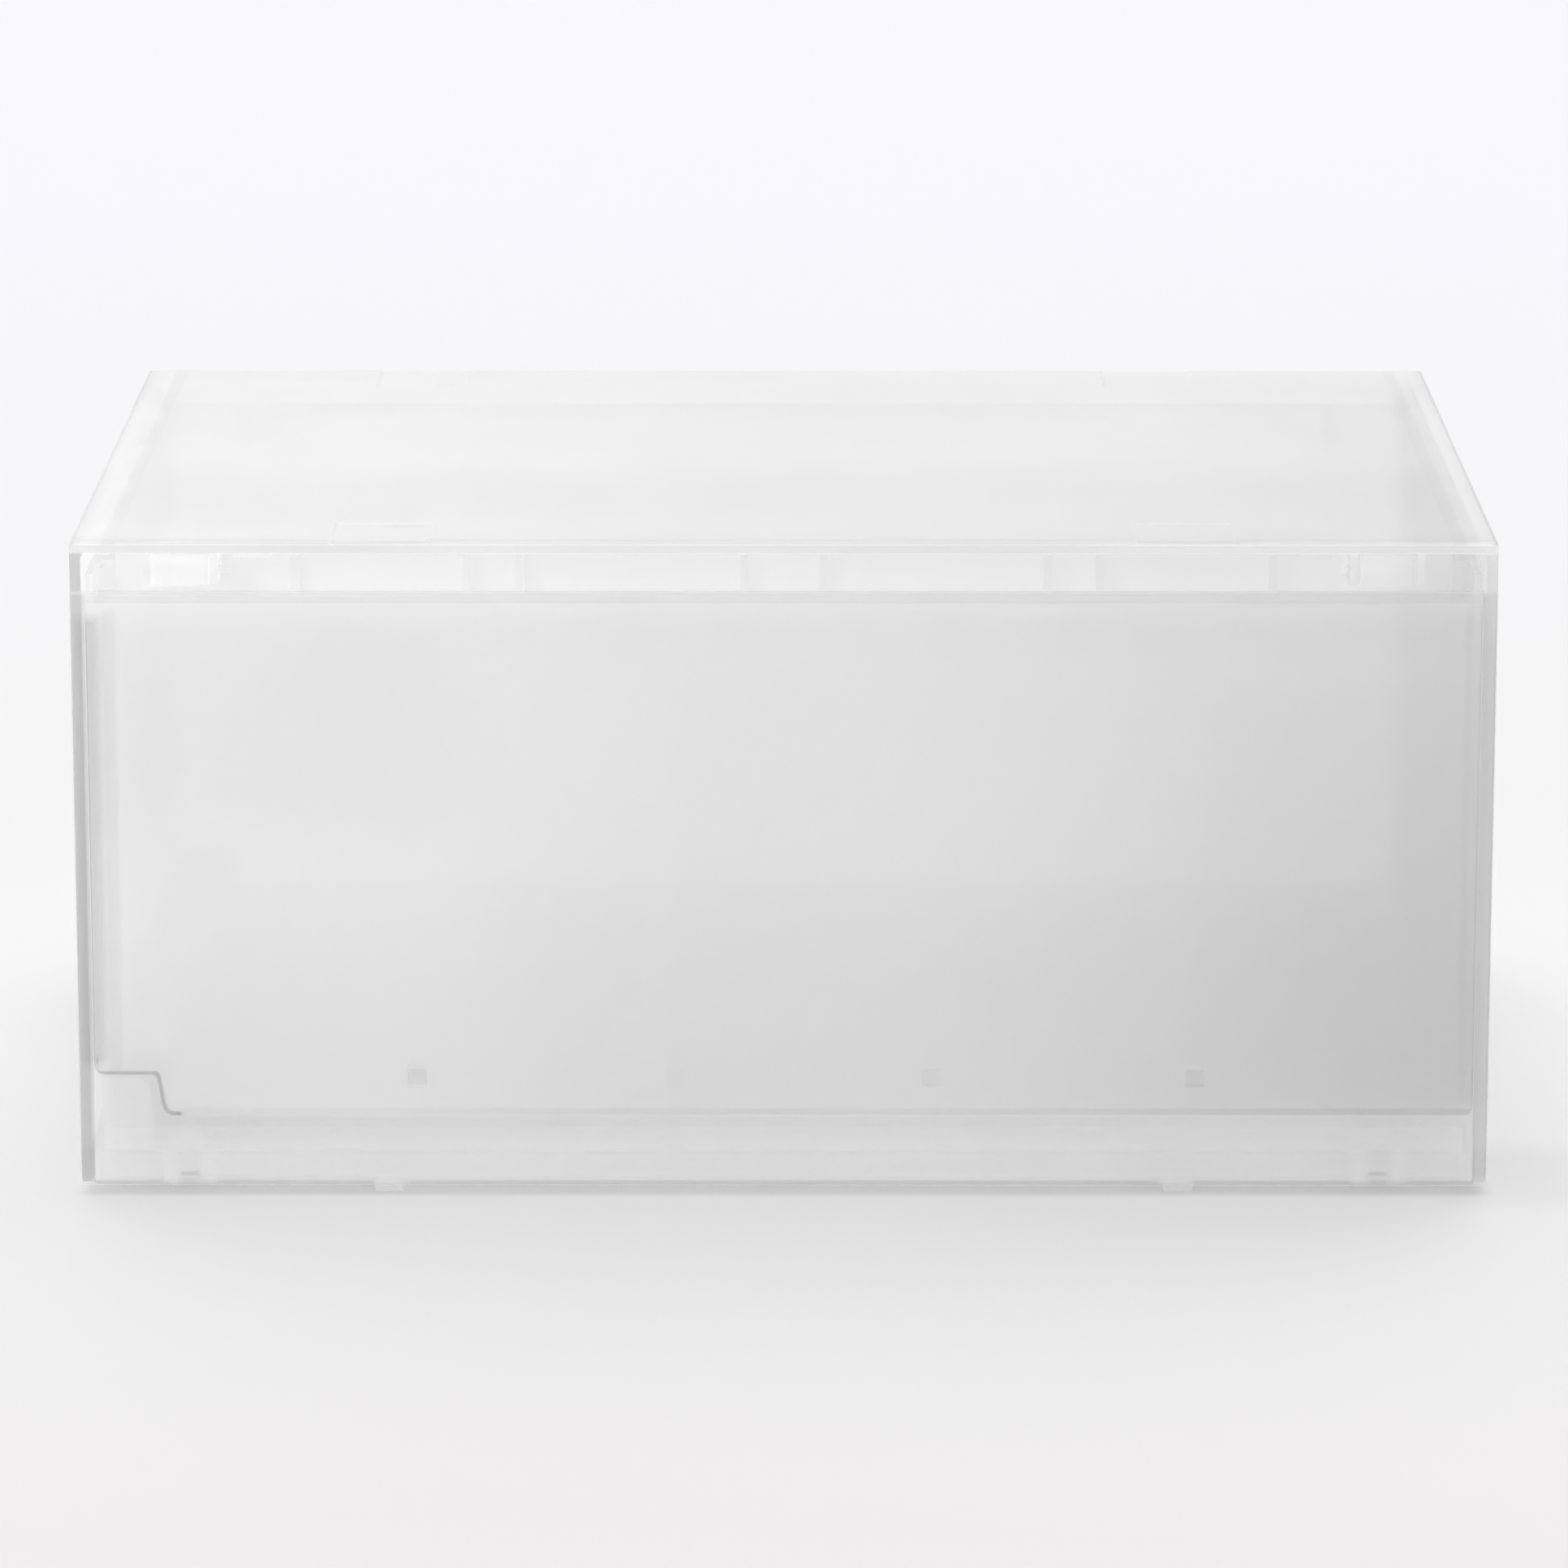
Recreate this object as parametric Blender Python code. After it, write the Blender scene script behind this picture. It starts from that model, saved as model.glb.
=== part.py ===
"""Drawer-type shoe box: a one-piece frosted case, a pull-out tray with a
separate front panel, drop stops, front glides and stacking feet.

Frame: +X to the right seen from the front, +Y to the back, +Z up.
Origin: centre of the footprint, on the plane that the feet stand on.
Metres throughout; the constants below are in millimetres.
"""

import math

import bmesh
import bpy
from mathutils import Vector

MM = 0.001

# ---- driving dimensions (mm) -------------------------------------------------
W = 370.0            # overall width
D = 260.0            # overall depth, front panel face to back of the case
H = 175.0            # overall height, feet included
FOOT_H = 3.0         # the case clears the floor by this much

PANEL_T = 3.2        # drawer front panel thickness
PANEL_TOP = 162.4    # top edge of the front panel
GAP = 0.3            # gap between touching pieces

CASE_FRONT = -D / 2 + PANEL_T + GAP   # front edge of the case walls
CASE_EDGE_R = 1.0    # rounding of the case's outer edges
CASE_SIDE_T = 2.8
CASE_TOP_T = 3.0
CASE_BACK_T = 2.5
FLOOR_LO, FLOOR_HI = 10.0, 12.0       # raised floor of the case
SKIRT_LO = 4.9                        # lower edge of the base's front skirt
LIP_DEPTH = 4.0                       # the top is thicker over its front lip
LIP_STEP = 0.6

TRAY_T = 2.0
TRAY_X = 181.2       # half width outside
TRAY_FRONT = CASE_FRONT               # outer face of the tray's front wall
TRAY_BACK = 125.5    # outer face of the tray's back wall
TRAY_LO, TRAY_FLOOR = 21.1, 23.3      # underside and top of the tray's floor
TRAY_RIM = 166.0     # top of the side and back walls
FRONT_WALL_TOP = 158.7                # floor of the finger channel
CHANNEL_BACK = -108.0                 # rear face of the channel's rear wall
CHANNEL_TOP = 168.8

STEP_X = -163.1      # step along the tray's lower left edge, at its foot
STEP_X_TOP = -164.9  # the same face at its head (draft)
STEP_Z = 32.2        # underside of the step

STOP_X = 156.4       # drop stops, sockets and glides sit on this line
FOOT_X = 104.0       # feet and stacking recesses
RECESS_X = 104.5
RECESS_DEPTH = 0.45
CORNER_R = 4.5       # upright inside corners of the tray

PEG_X = (-96.2, -28.7, 38.9, 107.8)   # snap pegs between panel and tray
PEG_Z = 32.4
PEG = 5.0
HOOK_X = (-118.0, -40.0, 40.0, 118.0)  # flat hooks over the tray's front wall

RIB_X = (10.2, 68.8, 82.5, 127.6)     # upright ribs on the channel's rear wall


# ---- helpers -------------------------------------------------------------------
def clear_scene():
    for obj in list(bpy.data.objects):
        bpy.data.objects.remove(obj, do_unlink=True)


def new_object(name, bm):
    bmesh.ops.recalc_face_normals(bm, faces=bm.faces)
    mesh = bpy.data.meshes.new(name)
    bm.to_mesh(mesh)
    bm.free()
    obj = bpy.data.objects.new(name, mesh)
    bpy.context.scene.collection.objects.link(obj)
    return obj


def add_box(bm, x0, x1, y0, y1, z0, z1):
    """One closed box, in mm, added to bm. Returns its vertices."""
    corners = [(x, y, z) for x in (x0, x1) for y in (y0, y1) for z in (z0, z1)]
    v = [bm.verts.new(Vector(c) * MM) for c in corners]
    for f in ((0, 1, 3, 2), (4, 6, 7, 5), (0, 4, 5, 1),
              (2, 3, 7, 6), (0, 2, 6, 4), (1, 5, 7, 3)):
        bm.faces.new([v[i] for i in f])
    return v


def box_object(name, *boxes, bevel=0.0, segments=2):
    bm = bmesh.new()
    for b in boxes:
        add_box(bm, *b)
    obj = new_object(name, bm)
    if bevel:
        add_bevel(obj, bevel, segments)
    return obj


def add_bevel(obj, width, segments=2):
    m = obj.modifiers.new("bevel", "BEVEL")
    m.width = width * MM
    m.segments = segments
    m.limit_method = "ANGLE"
    m.angle_limit = math.radians(40)
    return m


def fillet(points, radii, steps=4):
    """A closed outline with its corners rounded. points are (a, b), in order."""
    out = []
    n = len(points)
    for i, p in enumerate(points):
        r = radii[i]
        p = Vector(p)
        if r <= 0:
            out.append(p)
            continue
        a = (Vector(points[i - 1]) - p).normalized()
        b = (Vector(points[(i + 1) % n]) - p).normalized()
        half = math.acos(max(-1, min(1, a.dot(b)))) / 2
        t = r / math.tan(half)
        centre = p + (a + b).normalized() * (r / math.sin(half))
        start, end = p + a * t - centre, p + b * t - centre
        sweep = math.pi - 2 * half
        for k in range(steps + 1):
            f = k / steps
            s0 = math.sin((1 - f) * sweep) / math.sin(sweep)
            s1 = math.sin(f * sweep) / math.sin(sweep)
            out.append(centre + start * s0 + end * s1)
    return out


def prism(name, outline, y0, y1, front_rim=0.0):
    """Outline in X and Z, extruded along Y, as one closed solid. front_rim rounds
    the edges of the face at y0."""
    bm = bmesh.new()
    lower = [bm.verts.new((p.x * MM, y0 * MM, p.y * MM)) for p in outline]
    face = bm.faces.new(lower)
    moved = bmesh.ops.extrude_face_region(bm, geom=[face])
    verts = [e for e in moved["geom"] if isinstance(e, bmesh.types.BMVert)]
    bmesh.ops.translate(bm, verts=verts, vec=(0, (y1 - y0) * MM, 0))
    if front_rim:
        edges = [e for e in bm.edges
                 if all(abs(v.co.y - y0 * MM) < 1e-6 for v in e.verts)]
        bmesh.ops.recalc_face_normals(bm, faces=bm.faces)
        bmesh.ops.bevel(bm, geom=edges, offset=front_rim * MM, segments=2,
                        profile=0.5, affect="EDGES", clamp_overlap=True)
    return new_object(name, bm)


def upright_fillets(name, spots, r, steps=5, root=0.6):
    """Concave corner fillets. Each spot is (x, y, sx, sy, z0, z1, lean): the corner,
    the two directions into the open space, the heights, and how far the corner
    moves in X from z0 to z1."""
    bm = bmesh.new()
    for x, y, sx, sy, z0, z1, lean in spots:
        pts = [(-root, -root), (r + 0.15, -root)]
        for k in range(steps + 1):
            a = math.pi / 2 * k / steps
            pts.append((r - (r + 0.08) * math.sin(a), r - (r + 0.08) * math.cos(a)))
        pts.append((-root, r + 0.15))
        low = [bm.verts.new(((x + sx * a) * MM, (y + sy * b) * MM, z0 * MM))
               for a, b in pts]
        high = [bm.verts.new(((x + lean + sx * a) * MM, (y + sy * b) * MM, z1 * MM))
                for a, b in pts]
        bm.faces.new(low)
        bm.faces.new(high)
        n = len(pts)
        for k in range(n):
            bm.faces.new((low[k], low[(k + 1) % n], high[(k + 1) % n], high[k]))
    return new_object(name, bm)


def frustum(bm, x0, x1, y0, y1, z0, z1, slope):
    """A box whose top face is larger than its lower face by slope on each side."""
    for v in add_box(bm, x0, x1, y0, y1, z0, z1):
        if abs(v.co.z - z1 * MM) < 1e-7:
            v.co.x += math.copysign(slope * MM, v.co.x - (x0 + x1) / 2 * MM)
            v.co.y += math.copysign(slope * MM, v.co.y - (y0 + y1) / 2 * MM)


def cylinder(name, spots, r, z0, z1, sides=20):
    """Upright cylinders of radius r at spots (x, y), as one mesh."""
    bm = bmesh.new()
    for x, y in spots:
        ring = [bm.verts.new(((x + r * math.cos(2 * math.pi * k / sides)) * MM,
                              (y + r * math.sin(2 * math.pi * k / sides)) * MM,
                              z0 * MM)) for k in range(sides)]
        face = bm.faces.new(ring)
        moved = bmesh.ops.extrude_face_region(bm, geom=[face])
        verts = [e for e in moved["geom"] if isinstance(e, bmesh.types.BMVert)]
        bmesh.ops.translate(bm, verts=verts, vec=(0, 0, (z1 - z0) * MM))
    return new_object(name, bm)


def combine(obj, helper, operation):
    """A live Boolean with the EXACT solver. The helper isn't part of the model."""
    helper.hide_render = True
    helper.display_type = "WIRE"
    m = obj.modifiers.new(helper.name, "BOOLEAN")
    m.operation = operation
    m.solver = "EXACT"
    m.object = helper
    return m


def add(obj, helper):
    combine(obj, helper, "UNION")


def cut(obj, helper):
    combine(obj, helper, "DIFFERENCE")


def both_sides(*boxes):
    """Each box and its mirror image in X."""
    out = []
    for x0, x1, y0, y1, z0, z1 in boxes:
        out += [(x0, x1, y0, y1, z0, z1), (-x1, -x0, y0, y1, z0, z1)]
    return out


def material(name, colour, roughness, transmission=0.0, alpha=1.0):
    m = bpy.data.materials.new(name)
    m.use_nodes = True
    p = m.node_tree.nodes["Principled BSDF"]
    p.inputs["Base Color"].default_value = (*colour, 1.0)
    p.inputs["Roughness"].default_value = roughness
    p.inputs["Metallic"].default_value = 0.0
    p.inputs["Transmission Weight"].default_value = transmission
    p.inputs["Alpha"].default_value = alpha
    p.inputs["IOR"].default_value = 1.49
    m.diffuse_color = (*colour, alpha)
    return m


def finish(obj, mat, parent, angle=35):
    obj.data.materials.append(mat)
    obj.data.shade_smooth()
    obj.data.set_sharp_from_angle(angle=math.radians(angle))
    obj.parent = parent


clear_scene()

case_pp = material("case_frosted_pp", (0.86, 0.86, 0.86), 0.35, 0.55)
tray_pp = material("tray_frosted_pp", (0.84, 0.84, 0.84), 0.40, 0.55)
panel_pp = material("panel_frosted_pp", (0.82, 0.82, 0.82), 0.32, 0.55)
stop_pp = material("stop_white_pp", (0.90, 0.90, 0.89), 0.45, 0.30)
glide_pom = material("glide_natural_pom", (0.78, 0.78, 0.77), 0.35, 0.15)
foot_tpe = material("foot_clear_elastomer", (0.84, 0.84, 0.84), 0.45, 0.50)

case_root = bpy.data.objects.new("case_origin", None)
bpy.context.scene.collection.objects.link(case_root)
drawer_root = bpy.data.objects.new("drawer_origin", None)
bpy.context.scene.collection.objects.link(drawer_root)

inner_x = W / 2 - CASE_SIDE_T
case_back = D / 2
inner_back = case_back - CASE_BACK_T
roof = H - CASE_TOP_T

# ---- outer case: top, sides, back, raised floor and base, one moulding ---------
case = box_object("outer_case",
                  (-W / 2, W / 2, CASE_FRONT, case_back, FOOT_H, H))
bm = bmesh.new()
bm.from_mesh(case.data)
long_edges = [e for e in bm.edges
              if all(abs(v.co.y - CASE_FRONT * MM) > 1e-5 for v in e.verts)
              or (abs(e.verts[0].co.y - e.verts[1].co.y) > 0.1)]
# every outer edge is rounded apart from the open front's own rim
bmesh.ops.bevel(bm, geom=long_edges, offset=CASE_EDGE_R * MM, segments=3,
                profile=0.5, affect="EDGES", clamp_overlap=True)
# the open front's outer rim is only broken by a small radius
rim_edges = [e for e in bm.edges
             if all(abs(v.co.y - CASE_FRONT * MM) < 1e-6 for v in e.verts)]
bmesh.ops.bevel(bm, geom=rim_edges, offset=0.4 * MM, segments=2,
                profile=0.5, affect="EDGES", clamp_overlap=True)
bmesh.ops.recalc_face_normals(bm, faces=bm.faces)
bm.to_mesh(case.data)
bm.free()

cavity = box_object("case_cavity",
                    (-inner_x, inner_x, CASE_FRONT - 20, inner_back, FLOOR_HI, roof),
                    bevel=1.6, segments=2)
cut(case, cavity)
# behind its front lip the top is a little thinner
cut(case, box_object("top_relief",
                     (-inner_x + 1.4, inner_x - 1.4, CASE_FRONT + LIP_DEPTH,
                      inner_back - 1.4, roof - 1.0, roof + LIP_STEP)))
base_hollow = box_object("base_hollow",
                         (-inner_x, inner_x, CASE_FRONT + 2, case_back - 2,
                          -5, FLOOR_LO))
cut(case, base_hollow)
skirt_relief = box_object("skirt_relief",
                          (-inner_x, inner_x, CASE_FRONT - 10, CASE_FRONT + 8,
                           -5, SKIRT_LO),
                          (-inner_x, inner_x, case_back - 8, case_back + 10,
                           -5, SKIRT_LO))
cut(case, skirt_relief)

# ribs under the floor, along and across
rib_lo = 5.0
along = [(x - 0.8, x + 0.8, CASE_FRONT + 1, case_back - 1, rib_lo, FLOOR_LO + 0.8)
         for x in (-60.0, 0.0, 60.0)]
add(case, box_object("base_ribs_along", *along))
across = [(-inner_x - 0.5, inner_x + 0.5, y - 0.8, y + 0.8, rib_lo + 0.2,
           FLOOR_LO + 0.7) for y in (-62.0, 2.0, 66.0)]
add(case, box_object("base_ribs_across", *across))

# sockets on the base's front and back edges: two cheeks 10.6 mm apart
front_y, back_y = (CASE_FRONT + 0.6, CASE_FRONT + 18), (case_back - 18, case_back - 0.6)
cheeks = []
for y0, y1 in (front_y, back_y):
    for c in (STOP_X - 5.3, STOP_X + 5.3):
        cheeks += both_sides((c - 1.7, c + 1.7, y0, y1, FOOT_H + 0.4, FLOOR_LO + 0.9))
add(case, box_object("socket_cheeks", *cheeks))

# bosses that hold the feet
boss_y = ((CASE_FRONT + 0.7, CASE_FRONT + 17), (case_back - 17, case_back - 0.7))
bosses = []
for y0, y1 in boss_y:
    bosses += both_sides((FOOT_X - 6, FOOT_X + 6, y0, y1, SKIRT_LO + 0.1, FLOOR_LO + 1.0))
add(case, box_object("foot_bosses", *bosses))
foot_y = (CASE_FRONT + 8.0, case_back - 8.0)
holes = cylinder("foot_stud_holes",
                 [(s * FOOT_X, y) for s in (-1, 1) for y in foot_y],
                 2.3, -2, 8.6)
cut(case, holes)

# one hollow guide ridge on the floor, under the step in the tray's left edge
ridge = prism("guide_ridge",
              fillet([(-179.6, FLOOR_LO + 1.1), (-179.6, 31.2),
                      (-167.6, 31.2), (-166.4, FLOOR_LO + 1.1)], (0, 1.5, 1.5, 0), 3),
              CASE_FRONT + 1.5, inner_back + 1)
add(case, ridge)
ridge_core = prism("guide_ridge_core",
                   fillet([(-177.8, -5), (-177.8, 29.4), (-169.2, 29.4),
                           (-168.2, -5)], (0, 1, 1, 0), 3),
                   CASE_FRONT + 4, inner_back - 2)
cut(case, ridge_core)

# anti-tip rails over the tray's side rims, hung from the top on gussets
rails = both_sides((176.0, inner_x + 0.8, -104.0, inner_back + 0.8, 167.2, 168.9))
add(case, box_object("anti_tip_rails", *rails))
gussets = []
for y in (-85.0, -28.0, 24.0, 79.0):
    gussets += both_sides((176.6, inner_x + 0.6, y - 0.7, y + 0.7, 168.0, roof + 1.3))
add(case, box_object("rail_gussets", *gussets))

# cheeks that carry the drop stops, each with a ledge at its foot
carriers = []
for c in (147.7, 165.1):
    carriers += both_sides((c - 1.05, c + 1.05, CASE_FRONT + 0.6, -112.0,
                            163.6, roof + 1.3))
add(case, box_object("stop_cheeks", *carriers))
# a ledge behind each block, and windows in the cheeks for its side lugs
ledges = both_sides((148.2, 164.6, -113.4, -112.2, 166.4, roof + 1.2))
add(case, box_object("stop_ledges", *ledges))
lug_windows = []
for c in (147.7, 165.1):
    lug_windows += both_sides((c - 2.0, c + 2.0, -121.8, -116.2, 166.9, 169.5))
cut(case, box_object("stop_lug_windows", *lug_windows))

# shallow lugs under the top that keep the channel's rear wall from lifting
lugs = both_sides((133.0, 142.0, CASE_FRONT + 1.2, -114.5, roof - 1.3, roof + 1.3))
add(case, box_object("roof_lugs", *lugs))

# shallow recesses in the top that locate the feet of a box stacked above
bm = bmesh.new()
for y0, y1 in ((CASE_FRONT - 8, CASE_FRONT + 25.5), (case_back - 25.5, case_back + 8)):
    for side in (-1, 1):
        frustum(bm, side * RECESS_X - 12, side * RECESS_X + 12, y0, y1,
                H - RECESS_DEPTH, H + RECESS_DEPTH, 2.4)
cut(case, new_object("stacking_recesses", bm))
finish(case, case_pp, case_root)

# ---- drawer tray: floor, walls, stepped left edge and finger channel -----------
outline = [(-TRAY_X, TRAY_RIM), (-TRAY_X, STEP_Z), (STEP_X_TOP, STEP_Z),
           (STEP_X, TRAY_LO), (TRAY_X, TRAY_LO), (TRAY_X, TRAY_RIM)]
tray = prism("drawer_tray", fillet(outline, (0, 2.6, 1.6, 3.4, 2.6, 0)),
             TRAY_FRONT, TRAY_BACK, front_rim=0.5)
t = TRAY_T
inner = [(-TRAY_X + t, TRAY_RIM + 20), (-TRAY_X + t, STEP_Z + t),
         (STEP_X_TOP + t, STEP_Z + t), (STEP_X + t, TRAY_FLOOR),
         (TRAY_X - t, TRAY_FLOOR), (TRAY_X - t, TRAY_RIM + 20)]
tray_cavity = prism("tray_cavity", fillet(inner, (0, 1.4, 3.2, 1.6, 1.4, 0)),
                    TRAY_FRONT + t, TRAY_BACK - t)
cut(tray, tray_cavity)
in_x, in_front, in_back = TRAY_X - t, TRAY_FRONT + t, TRAY_BACK - t
step_low = (STEP_X + t, 21.9, 34.0, STEP_X_TOP - STEP_X)
corners = [(s * in_x, y, -s, d, z0, z1, 0.0)
           for y, d, top in ((in_front, 1, FRONT_WALL_TOP - 0.7),
                             (in_back, -1, TRAY_RIM - 0.6))
           for s, z0, z1 in ((-1, 33.0, top), (1, 22.0, top))]
corners += [(step_low[0], y, 1, d, step_low[1], step_low[2], step_low[3])
            for y, d in ((in_front, 1), (in_back, -1))]
add(tray, upright_fillets("corner_fillets", corners, CORNER_R))
# the front is lower than the sides: the finger channel's floor
cut(tray, box_object("front_lowering",
                     (-TRAY_X - 5, TRAY_X + 5, TRAY_FRONT - 5, TRAY_FRONT + t + 0.5,
                      FRONT_WALL_TOP, TRAY_RIM + 20)))
bm = bmesh.new()
edge = [(TRAY_FRONT - 1.0, FRONT_WALL_TOP + 0.5), (TRAY_FRONT - 1.0, FRONT_WALL_TOP - 1.5),
        (TRAY_FRONT + 0.5, FRONT_WALL_TOP + 0.02), (TRAY_FRONT + 0.5, FRONT_WALL_TOP + 0.5)]
ends = [[bm.verts.new((x * MM, y * MM, z * MM)) for y, z in edge]
        for x in (-TRAY_X - 5, TRAY_X + 5)]
bm.faces.new(ends[0])
bm.faces.new(ends[1])
for k in range(4):
    bm.faces.new((ends[0][k], ends[0][(k + 1) % 4], ends[1][(k + 1) % 4], ends[1][k]))
cut(tray, new_object("front_top_chamfer", bm))
channel = box_object("finger_channel",
                     (-TRAY_X + 0.6, TRAY_X - 0.6, TRAY_FRONT + 0.5, CHANNEL_BACK,
                      FRONT_WALL_TOP - 2, FRONT_WALL_TOP - 0.05))
add(tray, channel)
add(tray, box_object("channel_rear_wall",
                     (-174.5, 174.5, CHANNEL_BACK - t, CHANNEL_BACK - 0.05,
                      FRONT_WALL_TOP - 1.5, CHANNEL_TOP)))
ribs = []
for x in RIB_X:
    ribs += both_sides((x - 1.05, x + 1.05, CHANNEL_BACK - 5.0, CHANNEL_BACK - 1.0,
                        FRONT_WALL_TOP - 1.0, CHANNEL_TOP - 0.4))
add(tray, box_object("channel_ribs", *ribs))
# windows that let the wall pass the drop stops
cut(tray, box_object("stop_windows",
                     *both_sides((145.4, 167.4, -125.0, CHANNEL_BACK + 3,
                                  163.0, CHANNEL_TOP + 5))))
# inward flange along the rims of the side and back walls
rim = both_sides((175.8, TRAY_X - 0.7, CHANNEL_BACK + 3, TRAY_BACK - 0.7,
                  TRAY_RIM - 2.0, TRAY_RIM - 0.05))
add(tray, box_object("side_flanges", *rim))
add(tray, box_object("back_flange",
                     (-TRAY_X + 1.0, TRAY_X - 1.0, TRAY_BACK - 5.5, TRAY_BACK - 0.8,
                      TRAY_RIM - 1.9, TRAY_RIM - 0.1)))
# catch ribs that meet the drop stops at full travel
catch_front = 84.0
add(tray, box_object("catch_ribs",
                     *both_sides((STOP_X - 1.25, STOP_X + 1.25, catch_front,
                                  TRAY_BACK - 1.0, 158.0, TRAY_RIM - 0.15))))
# skids under the floor that run on the glides, with a heel at the back
skids = both_sides((STOP_X - 2.5, STOP_X + 2.5, TRAY_FRONT + 6, 118.0,
                    13.1, TRAY_LO + 0.8))
add(tray, box_object("skids", *skids))
heels = both_sides((STOP_X - 2.2, STOP_X + 2.2, 106.0, 117.5,
                    FLOOR_HI + GAP, 14.5))
add(tray, box_object("skid_heels", *heels))
# square holes for the front panel's pegs
s = PEG / 2 + GAP
peg_holes = [(x - s, x + s, TRAY_FRONT - 5, TRAY_FRONT + t + 1.2, PEG_Z - s, PEG_Z + s)
             for x in PEG_X]
cut(tray, box_object("peg_holes", *peg_holes))
finish(tray, tray_pp, drawer_root)

# ---- drawer front panel: a flat plate with four pegs and four hooks ---------------------
panel = box_object("drawer_front_panel",
                   (-W / 2, W / 2, -D / 2, -D / 2 + PANEL_T, FOOT_H, PANEL_TOP),
                   bevel=0.9, segments=3)
pegs = [(x - PEG / 2, x + PEG / 2, -D / 2 + PANEL_T - 1.5, TRAY_FRONT + t + 0.9,
         PEG_Z - PEG / 2, PEG_Z + PEG / 2) for x in PEG_X]
pegs += [(x - 5.0, x + 5.0, -D / 2 + PANEL_T - 1.5, TRAY_FRONT + 7.0,
          FRONT_WALL_TOP + GAP, FRONT_WALL_TOP + GAP + 1.2) for x in HOOK_X]
add(panel, box_object("panel_pegs", *pegs))
finish(panel, panel_pp, drawer_root)

# ---- drop stops: blocks that slide into the cheeks under the top ---------------
for side, name in ((-1, "stop_block_left"), (1, "stop_block_right")):
    lo, hi = 148.75 + GAP, 164.05 - GAP
    if side < 0:
        lo, hi = -hi, -lo
    c = (lo + hi) / 2
    stop = box_object(name, (lo, hi, CASE_FRONT + 0.8, -113.7, 163.3, roof - GAP),
                      bevel=0.35, segments=2)
    stop_lugs = box_object(name + "_lugs",
                           (lo - 0.9, hi + 0.9, -121.2, -116.8, 167.4, 169.0))
    add(stop, stop_lugs)
    finish(stop, stop_pp, case_root)

# ---- glides: T-shaped pads pressed through the floor between the socket cheeks --
slot = both_sides((STOP_X - 3.1, STOP_X + 3.1, -121.0, -113.0, FLOOR_LO - 2,
                   FLOOR_HI + 2))
cut(case, box_object("glide_slots", *slot))
for side, name in ((-1, "glide_left"), (1, "glide_right")):
    x = side * STOP_X
    glide = box_object(name, (x - 2.8, x + 2.8, -120.7, -113.3, 3.2, 12.6),
                       bevel=0.4, segments=2)
    head = box_object(name + "_head",
                      (x - 4.6, x + 4.6, -122.6, -111.4, FLOOR_HI + GAP, 12.8))
    add(glide, head)
    finish(glide, glide_pom, case_root)

# ---- feet: clear pads with a stud, pushed into the base ------------------------
for sx, nx in ((-1, "left"), (1, "right")):
    for y, ny in ((foot_y[0], "front"), (foot_y[1], "rear")):
        name = "foot_%s_%s" % (ny, nx)
        x = sx * FOOT_X
        y0 = y - 7.0
        foot = box_object(name, (x - 3.95, x + 3.95, y0, y0 + 14, 0.0,
                                 SKIRT_LO - GAP + 0.1), bevel=0.7, segments=3)
        stud = cylinder(name + "_stud", [(x, y)], 2.0, 2.5, 8.2)
        add(foot, stud)
        finish(foot, foot_tpe, case_root)
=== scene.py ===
"""Looks for the drawer-type shoe box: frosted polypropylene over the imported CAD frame."""

import math

import bpy
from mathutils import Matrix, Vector

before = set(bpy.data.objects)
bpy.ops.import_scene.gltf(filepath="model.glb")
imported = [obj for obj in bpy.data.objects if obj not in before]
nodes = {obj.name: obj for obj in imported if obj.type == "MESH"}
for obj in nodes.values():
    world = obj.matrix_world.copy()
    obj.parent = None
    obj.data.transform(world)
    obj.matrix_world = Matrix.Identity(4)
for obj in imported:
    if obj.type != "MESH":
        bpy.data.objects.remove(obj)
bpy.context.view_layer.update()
scene = bpy.context.scene
SKY = (("Z", 1, 1.22), ("Y", 1, 1.04), ("Z", -1, 0.58))   # axis, sign, strength


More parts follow.
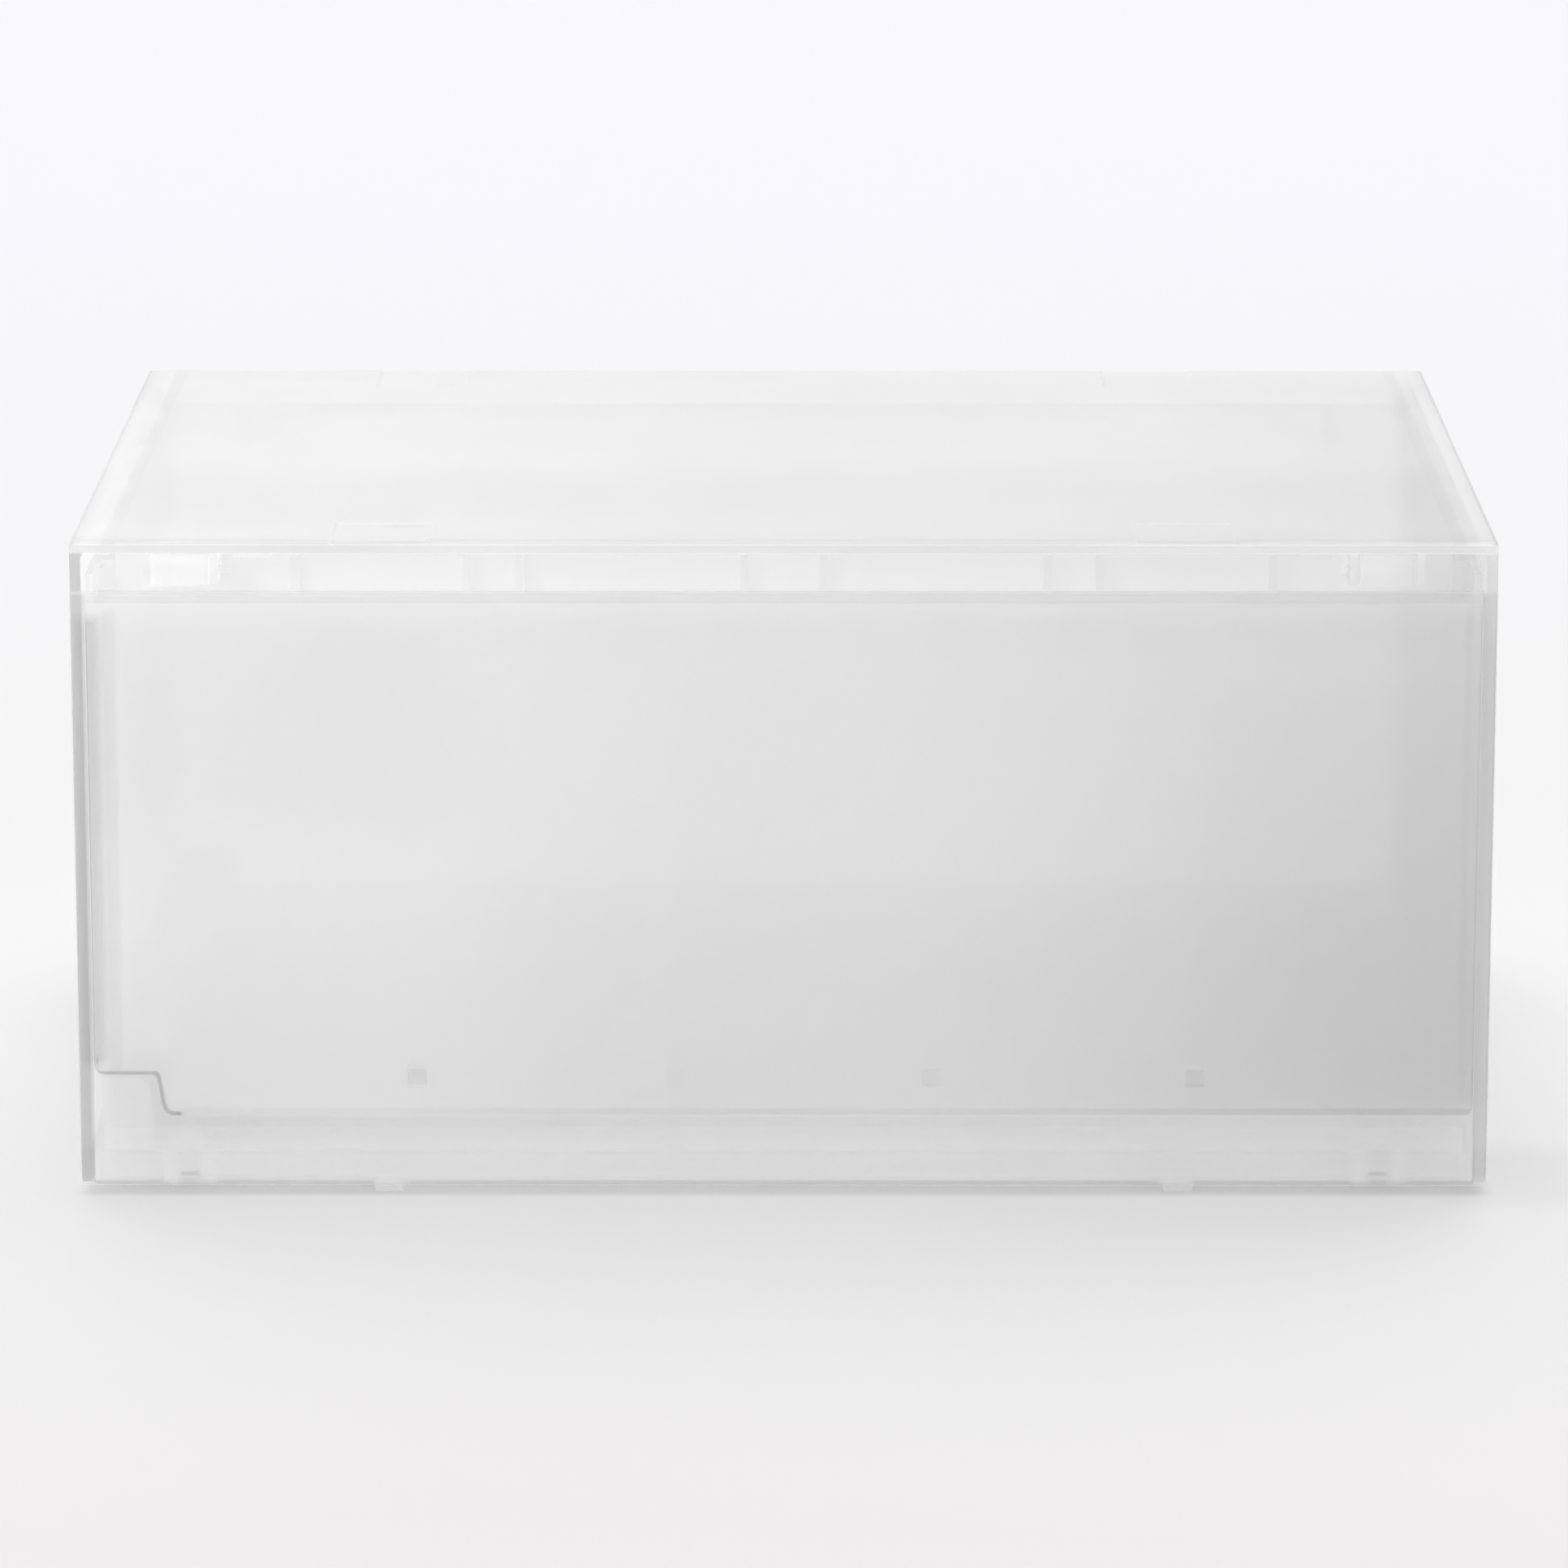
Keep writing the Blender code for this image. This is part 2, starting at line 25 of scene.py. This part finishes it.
# ---- node helpers ---------------------------------------------------------------
class Tree:
    def __init__(self, name):
        self.mat = bpy.data.materials.new(name)
        self.mat.use_nodes = True
        self.nt = self.mat.node_tree
        for n in list(self.nt.nodes):
            self.nt.nodes.remove(n)
        self.out = self.node("ShaderNodeOutputMaterial")

    def node(self, kind, **props):
        n = self.nt.nodes.new(kind)
        for k, v in props.items():
            setattr(n, k, v)
        return n

    def link(self, a, b):
        self.nt.links.new(a, b)

    def coords(self):
        return self.node("ShaderNodeTexCoord").outputs["Object"]

    def noise(self, scale, detail=3.0, rough=0.5, stretch=None):
        n = self.node("ShaderNodeTexNoise")
        n.inputs["Scale"].default_value = scale
        n.inputs["Detail"].default_value = detail
        n.inputs["Roughness"].default_value = rough
        src = self.coords()
        if stretch:
            m = self.node("ShaderNodeMapping")
            m.inputs["Scale"].default_value = stretch
            self.link(src, m.inputs["Vector"])
            src = m.outputs["Vector"]
        self.link(src, n.inputs["Vector"])
        return n.outputs["Fac"]

    def ramp(self, fac, lo, hi, a=0.3, b=0.7, smooth=False):
        r = self.node("ShaderNodeMapRange")
        if smooth:
            r.interpolation_type = "SMOOTHSTEP"
        r.inputs["From Min"].default_value = a
        r.inputs["From Max"].default_value = b
        r.inputs["To Min"].default_value = lo
        r.inputs["To Max"].default_value = hi
        self.link(fac, r.inputs["Value"])
        return r.outputs["Result"]

    def colour(self, fac, dark, light, a=0.3, b=0.7):
        r = self.node("ShaderNodeValToRGB")
        r.color_ramp.elements[0].position = a
        r.color_ramp.elements[0].color = (*dark, 1)
        r.color_ramp.elements[1].position = b
        r.color_ramp.elements[1].color = (*light, 1)
        self.link(fac, r.inputs["Fac"])
        return r.outputs["Color"]

    def math(self, op, *values):
        m = self.node("ShaderNodeMath", operation=op)
        for k, v in enumerate(values):
            if isinstance(v, (int, float)):
                m.inputs[k].default_value = v
            else:
                self.link(v, m.inputs[k])
        return m.outputs[0]

    def place(self):
        """x, y and z in the object's own frame, in metres"""
        if not getattr(self, "_place", None):
            split = self.node("ShaderNodeSeparateXYZ")
            self.link(self.coords(), split.inputs[0])
            self._place = {"x": split.outputs[0], "y": split.outputs[1], "z": split.outputs[2]}
            self._place["ax"] = self.math("ABSOLUTE", split.outputs[0])
        return self._place

    def span(self, value, lo, hi, soft):
        """1 between lo and hi (mm), falling to 0 over soft (mm) on each side"""
        off = self.math("ABSOLUTE", self.math("SUBTRACT", value, (lo + hi) / 2000))
        half = (hi - lo) / 2000
        return self.ramp(off, 1.0, 0.0, half, half + soft / 1000, smooth=True)

    def zone(self, soft, **limits):
        """Product of spans: zone(0.2, x=(lo, hi), z=(lo, hi)); ax is the distance from x = 0"""
        total = None
        for axis, (lo, hi) in limits.items():
            one = self.span(self.place()[axis], lo, hi, soft)
            total = one if total is None else self.math("MULTIPLY", total, one)
        return total


def frosted(name, dark, light, clear, through, rough, bump=0.02, marks=None):
    """Frosted polypropylene as a thin sheet: clear is the share of light that goes
    straight on, and through the share of the rest that goes on diffusely. A ray
    meets the sheet once, where it enters, and leaves it freely. marks returns
    (mask, gain, clear_gain) for painted shade and painted highlights at edges, ribs
    and parts seen through the sheet, and for places where it is less clear."""
    t = Tree(name)
    p = t.node("ShaderNodeBsdfPrincipled")
    p.inputs["Metallic"].default_value = 0.0
    p.inputs["IOR"].default_value = 1.49
    cloud = t.noise(9.0, 1.0, 0.5)
    tint = t.colour(cloud, dark, light)
    see_share = None
    if marks:
        gain, see_gain = 1.0, 1.0
        for mask, g, c in marks(t):
            if g:
                gain = t.math("MULTIPLY_ADD", mask, g, gain)
            if c:
                see_gain = t.math("MULTIPLY_ADD", mask, c, see_gain)
        if not isinstance(gain, float):
            scaled = t.node("ShaderNodeVectorMath", operation="SCALE")
            t.link(tint, scaled.inputs[0])
            t.link(gain, scaled.inputs["Scale"])
            low = t.node("ShaderNodeVectorMath", operation="MINIMUM")
            t.link(scaled.outputs[0], low.inputs[0])
            low.inputs[1].default_value = (0.995, 0.995, 0.995)
            tint = low.outputs[0]
        if not isinstance(see_gain, float):
            capped = t.node("ShaderNodeClamp")
            t.link(t.math("MULTIPLY", see_gain, clear), capped.inputs["Value"])
            see_share = capped.outputs[0]
    t.link(tint, p.inputs["Base Color"])
    smear = t.noise(34.0, 2.0, 0.6, (1.0, 1.0, 0.4))
    t.link(t.ramp(smear, rough[0], rough[1]), p.inputs["Roughness"])
    grain = t.noise(2600.0, 0.0, 0.5)
    flow = t.noise(16.0, 0.0, 0.5)
    height = t.math("MULTIPLY_ADD", flow, 1.5, grain)
    b = t.node("ShaderNodeBump")
    b.inputs["Strength"].default_value = 0.35
    b.inputs["Distance"].default_value = bump * 0.001
    t.link(height, b.inputs["Height"])
    t.link(b.outputs["Normal"], p.inputs["Normal"])
    tr = t.node("ShaderNodeBsdfTranslucent")
    t.link(tint, tr.inputs["Color"])
    body = t.node("ShaderNodeMixShader")
    body.inputs[0].default_value = through
    t.link(p.outputs["BSDF"], body.inputs[1])
    t.link(tr.outputs["BSDF"], body.inputs[2])
    see = t.node("ShaderNodeBsdfTransparent")
    see.inputs["Color"].default_value = (1, 1, 1, 1)
    sheet = t.node("ShaderNodeMixShader")
    sheet.inputs[0].default_value = clear
    if see_share is not None:
        t.link(see_share, sheet.inputs[0])
    t.link(body.outputs["Shader"], sheet.inputs[1])
    t.link(see.outputs["BSDF"], sheet.inputs[2])
    leave = t.node("ShaderNodeBsdfTransparent")
    leave.inputs["Color"].default_value = (1, 1, 1, 1)
    geo = t.node("ShaderNodeNewGeometry")
    end = t.node("ShaderNodeMixShader")
    t.link(geo.outputs["Backfacing"], end.inputs[0])
    t.link(sheet.outputs["Shader"], end.inputs[1])
    t.link(leave.outputs["BSDF"], end.inputs[2])
    t.link(end.outputs["Shader"], t.out.inputs["Surface"])
    return t.mat


FRONT = (-127.2, -125.9)     # front faces of the case and of the tray (y, mm)


def case_marks(t):
    front = t.zone(0.2, y=FRONT)
    top = t.zone(0.2, z=(174.2, 176.0))

    def at(soft, **limits):
        return t.math("MULTIPLY", front, t.zone(soft, **limits))

    def on(soft, **limits):
        return t.math("MULTIPLY", top, t.zone(soft, **limits))

    return [
        # front edges of the side walls: painted shade, deeper on the left than on the right, where the
        # light goes the long way through them
        (at(0.25, x=(-190.0, -181.7), z=(0.0, 172.0)), -0.36, -0.8),
        (at(0.25, x=(181.7, 190.0), z=(0.0, 172.0)), -0.21, -0.8),
        # base skirt in faint painted shade, painted light in the clear hollow of the guide ridge and on
        # the sockets' cheeks, painted shade in the sockets' openings
        (at(0.5, z=(5.0, 11.9)), -0.05, -0.3),
        (at(1.2, x=(-177.6, -165.2), z=(15.5, 30.4)), 0.36, 0.3),
        (at(0.5, ax=(149.8, 153.2), z=(4.0, 18.0)), 0.05, -0.2),
        (at(0.5, ax=(160.2, 163.2), z=(4.0, 18.0)), 0.05, -0.2),
        (at(0.6, ax=(154.3, 158.5), z=(4.4, 5.7)), -0.30, -0.3),
        # front lip of the top in painted shade, with a painted highlight along each of its edges
        (at(0.2, z=(172.1, 174.8)), -0.15, -0.5),
        (at(0.12, z=(171.8, 172.15)), 0.12, -0.3),
        (at(0.12, z=(174.1, 174.5)), 0.10, -0.2),
        # top: painted shade along the lip's rear edge, a little deeper by the stacking recesses
        (on(0.5, y=(-124.8, -123.2)), -0.05, -0.2),
        (on(1.0, y=(-125.0, -123.0), x=(-107.0, -83.0)), -0.03, 0.0),
        (on(1.0, y=(-125.0, -123.0), x=(100.0, 126.5)), -0.03, 0.0),
        # top: painted shade where the side walls and their rails are seen through it, with a painted
        # light line between them
        (on(0.5, ax=(184.0, 186.0)), -0.14, -0.3),
        (on(2.2, ax=(177.8, 181.0)), 0.05, 0.0),
        (on(1.2, ax=(173.8, 176.2)), -0.04, 0.0),
        # tone trims fitted to the photo's light, not thickness: middle of the top, ends of the lip
        (on(60.0, y=(0.0, 40.0)), 0.07, 0.0),
        (at(40.0, x=(100.0, 185.0), z=(172.1, 174.8)), 0.08, 0.0),
        (at(40.0, x=(-185.0, -120.0), z=(172.1, 174.8)), -0.05, 0.0),
        # tone trims that even out the stacking recesses' slopes in the front view's light
        (on(0.3, x=(-117.0, -92.0), y=(-101.0, -99.8)), -0.07, 0.0),
        (on(0.3, x=(92.0, 117.0), y=(-101.0, -99.8)), -0.04, 0.0),
        (on(0.3, x=(-117.7, -116.5), y=(-126.5, -101.0)), 0.07, 0.0),
        (on(0.3, x=(-92.5, -91.3), y=(-126.5, -101.0)), -0.03, 0.0),
        (on(0.3, x=(91.3, 92.5), y=(-126.5, -101.0)), 0.05, 0.0),
        (on(0.3, x=(116.5, 117.7), y=(-126.5, -101.0)), -0.03, 0.0),
        # two small spots of painted shade on the top's left side, one near its front edge and one near
        # its back edge
        (on(1.5, x=(-104.0, -95.0), y=(-104.6, -102.4)), -0.05, 0.0),
        (on(1.2, x=(-100.0, -95.5), y=(105.0, 107.5)), -0.05, 0.0),
    ]


def tray_marks(t):
    p = t.place()
    front = t.zone(0.2, y=FRONT)

    def at(soft, **limits):
        return t.math("MULTIPLY", front, t.zone(soft, **limits))

    def past(x0, slope, soft):
        """0 left of the slanted line x = x0 + slope z (mm), 1 right of it"""
        edge = t.math("MULTIPLY_ADD", p["z"], -slope, t.math("SUBTRACT", p["x"], x0 / 1000))
        wide = t.ramp(edge, 0.0, 1.0, -soft / 1000, soft / 1000, smooth=True)
        return t.math("MULTIPLY", wide, at(14.0, z=(34.0, 128.0)))

    # distance inside the stepped lower left outline
    step = t.math("MULTIPLY_ADD", t.math("SUBTRACT", 0.0322, p["z"]), 0.162, -0.1649)
    upper = t.math("SMOOTH_MIN", t.math("ADD", p["x"], 0.1812), t.math("SUBTRACT", p["z"], 0.0322))
    lower = t.math("SMOOTH_MIN", t.math("SUBTRACT", p["x"], step), t.math("SUBTRACT", p["z"], 0.0211))
    upper.node.inputs[2].default_value = 0.0
    lower.node.inputs[2].default_value = 0.004
    inside = t.math("SMOOTH_MAX", upper, lower)
    inside.node.inputs[2].default_value = 0.002
    # painted shade: a dark line along the stepped lower left outline, and a soft painted shade around it
    near = at(2.0, x=(-179.5, -159.5), z=(20.0, 36.0))
    line = t.math("MULTIPLY", near, t.span(inside, -1.0, 0.9, 0.5))
    step_soft_shade = t.math("MULTIPLY", near, t.span(inside, -1.0, 0.5, 4.0))
    return [
        (line, -0.48, -0.5),
        (step_soft_shade, -0.09, 0.0),
        # painted shade where the floor of the tray is seen edge on, and painted highlights and shade on
        # the rounded edges of its front wall
        (at(0.25, x=(-159.5, 181.2), z=(21.5, 23.2)), -0.13, -0.6),
        (at(0.1, x=(-157.0, 181.2), z=(20.75, 21.3)), 0.25, -0.8),
        (at(0.06, x=(-181.25, -180.95), z=(34.5, 158.0)), -0.14, -0.8),
        (at(0.08, x=(-180.8, 180.8), z=(158.35, 158.8)), 0.12, -0.6),
        (at(0.08, x=(180.8, 181.3), z=(22.0, 158.0)), -0.18, -0.5),
        # painted shade where the side wall and its fillet stand behind the front wall, the first also a
        # fitted dark zone; a thin painted highlight by the step and a little painted shade above it
        (at(5.0, x=(-181.4, -180.0), z=(38.0, 153.0)), -0.34, -0.2),
        (at(0.8, x=(-176.3, -174.0), z=(34.0, 157.0)), -0.14, 0.0),
        (at(1.2, x=(177.5, 180.4), z=(25.0, 157.0)), -0.08, -0.2),
        (at(0.12, x=(-158.8, -158.4), z=(24.4, 31.2)), 0.09, 0.0),
        (at(2.5, x=(-171.0, -161.0), z=(35.0, 38.0)), -0.05, 0.0),
        # tone trims fitted to the photo's light, not thickness: front wall, channel's rear wall
        (at(150.0, x=(170.0, 185.0), z=(15.0, 40.0)), -0.13, 0.0),
        (at(60.0, x=(-185.0, -110.0), z=(25.0, 70.0)), 0.07, 0.0),
        (at(40.0, x=(-165.0, -110.0), z=(115.0, 135.0)), -0.05, 0.0),
        (t.zone(0.5, y=(-111.0, -107.5), z=(159.5, 169.0)), 0.03, 0.0),
        # faint painted shade to the right of two slanted lines
        (past(-33.3, 0.059, 1.6), -0.022, 0.0),
        (past(103.0, 0.058, 1.6), -0.022, 0.0),
    ]


def panel_marks(t):
    front = t.zone(0.2, y=(-130.4, -129.6))

    def at(soft, **limits):
        return t.math("MULTIPLY", front, t.zone(soft, **limits))

    # painted shadow: a dark line low on the panel where the shade under the skirt shows, broken at the
    # sockets and the feet
    low = at(0.3, ax=(0.0, 181.3), z=(3.7, 4.5))
    for lo, hi in ((149.4, 154.0), (158.8, 163.2), (99.0, 107.6)):
        low = t.math("MULTIPLY", low, t.math("SUBTRACT", 1.0, t.zone(0.5, ax=(lo, hi))))
    marks = [
        (low, -0.30, -0.22),
        # painted light on the open strip under the tray, standing in for light from below
        (at(1.0, ax=(0.0, 178.0), z=(12.9, 18.6)), 0.06, -0.10),
        (at(1.5, ax=(0.0, 178.0), z=(6.0, 11.0)), 0.05, -0.05),
        # a painted highlight along the panel's bottom edge
        (at(0.1, z=(2.8, 3.3)), 0.10, -0.5),
        # painted shade on the borders beyond the tray's front wall, deeper on the left, and along the
        # top edge
        (at(0.2, x=(-184.5, -181.1), z=(4.5, 161.8)), -0.27, -0.35),
        (at(0.2, x=(181.1, 184.5), z=(4.5, 161.8)), -0.11, -0.35),
        (at(5.0, x=(-181.4, -180.0), z=(38.0, 153.0)), -0.17, 0.0),
        (at(0.2, x=(181.0, 181.7), z=(4.5, 161.8)), -0.08, -0.2),
        (at(0.4, ax=(0.0, 181.0), z=(159.3, 161.8)), -0.14, -0.10),
        (at(0.1, z=(162.0, 162.6)), -0.10, -0.3),
    ]
    # painted shade over the four snap pegs, of a different strength at each
    for x, peg_shade in ((-96.2, 0.14), (-28.7, 0.02), (38.9, 0.18), (107.8, 0.40)):
        marks.append((at(0.8, x=(x - 2.0, x + 2.0), z=(30.4, 34.4)), -peg_shade, 0.0))
    return marks


case_pp = frosted("case_frosted_pp_look", (0.90, 0.90, 0.90), (0.925, 0.925, 0.925),
                  0.40, 0.62, (0.30, 0.42), marks=case_marks)
tray_pp = frosted("tray_frosted_pp_look", (0.87, 0.87, 0.87), (0.89, 0.89, 0.89),
                  0.30, 0.62, (0.36, 0.48), marks=tray_marks)
panel_pp = frosted("panel_frosted_pp_look", (0.87, 0.87, 0.87), (0.89, 0.89, 0.89),
                   0.70, 0.62, (0.30, 0.40), marks=panel_marks)
stop_pp = frosted("stop_white_pp_look", (0.965, 0.965, 0.965), (0.985, 0.985, 0.985),
                  0.45, 0.75, (0.42, 0.55))
glide_pp = frosted("glide_pom_look", (0.93, 0.93, 0.925), (0.955, 0.955, 0.95),
                   0.50, 0.60, (0.30, 0.40))
foot_pp = frosted("foot_elastomer_look", (0.94, 0.94, 0.94), (0.96, 0.96, 0.96),
                  0.60, 0.60, (0.38, 0.5))

looks = {
    "outer_case": case_pp, "drawer_tray": tray_pp, "drawer_front_panel": panel_pp,
    "stop_block_left": stop_pp, "stop_block_right": stop_pp,
    "glide_left": glide_pp, "glide_right": glide_pp,
}
for name, obj in nodes.items():
    mat = looks.get(name, foot_pp)
    obj.data.materials.clear()
    obj.data.materials.append(mat)
even = nodes["outer_case"].modifiers.new("even_normals", "WEIGHTED_NORMAL")
even.weight = 100
even.keep_sharp = True


# ---- floor and backdrop: one round cove --------------------------------------------
def cove():
    flat, radius, high, sides = 2.6, 1.2, 2.6, 128
    profile = [(0.6, 0.0), (1.6, 0.0), (flat, 0.0)]
    for k in range(1, 17):
        a = math.pi / 2 * k / 16
        profile.append((flat + radius * math.sin(a), radius - radius * math.cos(a)))
    profile.append((flat + radius, high))
    verts, faces = [(0.0, 0.0, -0.00002)], []
    for r, z in profile:
        for k in range(sides):
            a = 2 * math.pi * k / sides
            verts.append((r * math.cos(a), r * math.sin(a), z - 0.00002))
    for k in range(sides):
        faces.append((0, 1 + k, 1 + (k + 1) % sides))
    for row in range(len(profile) - 1):
        lo, hi = 1 + row * sides, 1 + (row + 1) * sides
        for k in range(sides):
            j = (k + 1) % sides
            faces.append((lo + k, hi + k, hi + j, lo + j))
    mesh = bpy.data.meshes.new("studio_cove")
    mesh.from_pydata(verts, [], faces)
    mesh.update()
    mesh.shade_smooth()
    obj = bpy.data.objects.new("studio_cove", mesh)
    scene.collection.objects.link(obj)
    t = Tree("studio_paper")
    p = t.node("ShaderNodeBsdfPrincipled")
    p.inputs["Roughness"].default_value = 0.9
    # painted tone and shade along the depth: cool behind the box, neutral beside it, a little warm in
    # front, with painted shade in front of the box and a darker band behind it
    paper = t.node("ShaderNodeValToRGB")
    paper.color_ramp.elements[0].position = 0.203
    paper.color_ramp.elements[0].color = (0.849, 0.826, 0.835, 1)
    paper.color_ramp.elements[1].position = 1.0
    paper.color_ramp.elements[1].color = (0.915, 0.908, 0.947, 1)
    for where, tone in ((0.263, (0.885, 0.880, 0.882, 1)), (0.300, (0.915, 0.915, 0.916, 1)),
                        (0.337, (0.922, 0.922, 0.924, 1)), (0.430, (0.860, 0.859, 0.867, 1)),
                        (0.500, (0.872, 0.871, 0.883, 1)), (0.700, (0.893, 0.889, 0.914, 1))):
        paper.color_ramp.elements.new(where).color = tone
    grain_and_depth_shade = t.math("MULTIPLY_ADD", t.noise(3.0, 2.0), 0.04, t.ramp(t.place()["y"], 0.0, 1.0, -1.0, 2.2))
    t.link(grain_and_depth_shade, paper.inputs["Fac"])
    # a painted stand-in for the contact shadow, and for the shadow on the box's right
    under = t.zone(6.0, ax=(-1.0, 182.0), y=(-125.0, -119.0))
    beside = t.zone(25.0, x=(188.0, 200.0), y=(-125.0, -95.0))
    shaded = t.node("ShaderNodeVectorMath", operation="SCALE")
    t.link(paper.outputs["Color"], shaded.inputs[0])
    t.link(t.math("MULTIPLY_ADD", under, -0.18, t.math("MULTIPLY_ADD", beside, -0.07, 1.0)),
           shaded.inputs["Scale"])
    t.link(shaded.outputs[0], p.inputs["Base Color"])
    t.link(p.outputs["BSDF"], t.out.inputs["Surface"])
    mesh.materials.append(t.mat)
    obj.visible_diffuse = False
    obj.visible_transmission = False
    obj.visible_shadow = False
    return obj


floor = cove()


# ---- light -----------------------------------------------------------------------
def area(name, loc, aim, size, power, colour=(1, 1, 1)):
    data = bpy.data.lights.new(name, "AREA")
    data.shape = "RECTANGLE"
    data.size, data.size_y = size
    data.energy = power
    data.color = colour
    obj = bpy.data.objects.new(name, data)
    scene.collection.objects.link(obj)
    obj.location = loc
    obj.visible_camera = False
    obj.rotation_mode = "QUATERNION"
    obj.rotation_quaternion = (Vector(aim) - Vector(loc)).to_track_quat("-Z", "Y")
    return obj


def only_on(light, objects):
    """The light reaches these objects only."""
    group = bpy.data.collections.new(light.name + "_reach")
    for o in objects:
        group.objects.link(o)
    light.light_linking.receiver_collection = group


box_pieces = list(nodes.values())
only_on(area("box_front_near", (-0.42, -0.50, 0.42), (-0.05, -0.13, 0.10), (0.3, 0.3), 2.5), box_pieces)
only_on(area("box_front_left", (-0.95, -0.45, 0.50), (-0.1, -0.1, 0.08), (0.6, 0.5), 0.4), box_pieces)
only_on(area("box_low_left", (-0.55, -0.50, 0.10), (-0.10, -0.13, 0.05), (0.3, 0.2), 0.3), box_pieces)
only_on(area("box_top_left", (-0.7, 0.2, 1.0), (-0.05, 0, 0.1), (0.6, 0.6), 2.2), box_pieces)
only_on(area("box_back_left", (-0.7, 1.0, 0.5), (0, 0, 0.1), (0.6, 0.6), 0.9), box_pieces)

# a soft sky: bright overhead and behind, with the floor's bounce from below
world = bpy.data.worlds.new("studio")
world.use_nodes = True
sky = world.node_tree
bg = sky.nodes["Background"]
bg.inputs["Color"].default_value = (1.0, 1.0, 1.0, 1)
way = sky.nodes.new("ShaderNodeTexCoord")
part = sky.nodes.new("ShaderNodeSeparateXYZ")
sky.links.new(way.outputs["Generated"], part.inputs[0])
level = None
for axis, sign, gain in SKY:
    lobe = sky.nodes.new("ShaderNodeMath")
    lobe.operation = "MULTIPLY"
    lobe.use_clamp = True
    lobe.inputs[1].default_value = sign
    sky.links.new(part.outputs[axis], lobe.inputs[0])
    more = sky.nodes.new("ShaderNodeMath")
    more.operation = "MULTIPLY_ADD"
    more.inputs[1].default_value = gain
    more.inputs[2].default_value = 0.01
    sky.links.new(lobe.outputs[0], more.inputs[0])
    if level is not None:
        sky.links.new(level, more.inputs[2])
    level = more.outputs[0]
sky.links.new(level, bg.inputs["Strength"])
scene.world = world

scene.cycles.max_bounces = 10
scene.cycles.diffuse_bounces = 7
scene.cycles.glossy_bounces = 3
scene.cycles.transmission_bounces = 7
scene.cycles.transparent_max_bounces = 30
scene.cycles.use_light_tree = False
scene.cycles.caustics_reflective = False
scene.cycles.caustics_refractive = False

scene.view_settings.view_transform = "Standard"
scene.view_settings.look = "None"
scene.view_settings.exposure = 0.0

# ---- camera ----------------------------------------------------------------------
cam_data = bpy.data.cameras.new("camera")
cam_data.sensor_width = 36.0
cam_data.lens = 178.9
cam_data.clip_start, cam_data.clip_end = 0.05, 50
cam = bpy.data.objects.new("camera", cam_data)
scene.collection.objects.link(cam)
cam.location = (0.00326, -2.1043, 0.56825)
pitch, yaw = math.radians(13.0224), math.radians(-0.0923)
cam.rotation_euler = (math.pi / 2 - pitch, 0.0, -yaw)
scene.camera = cam
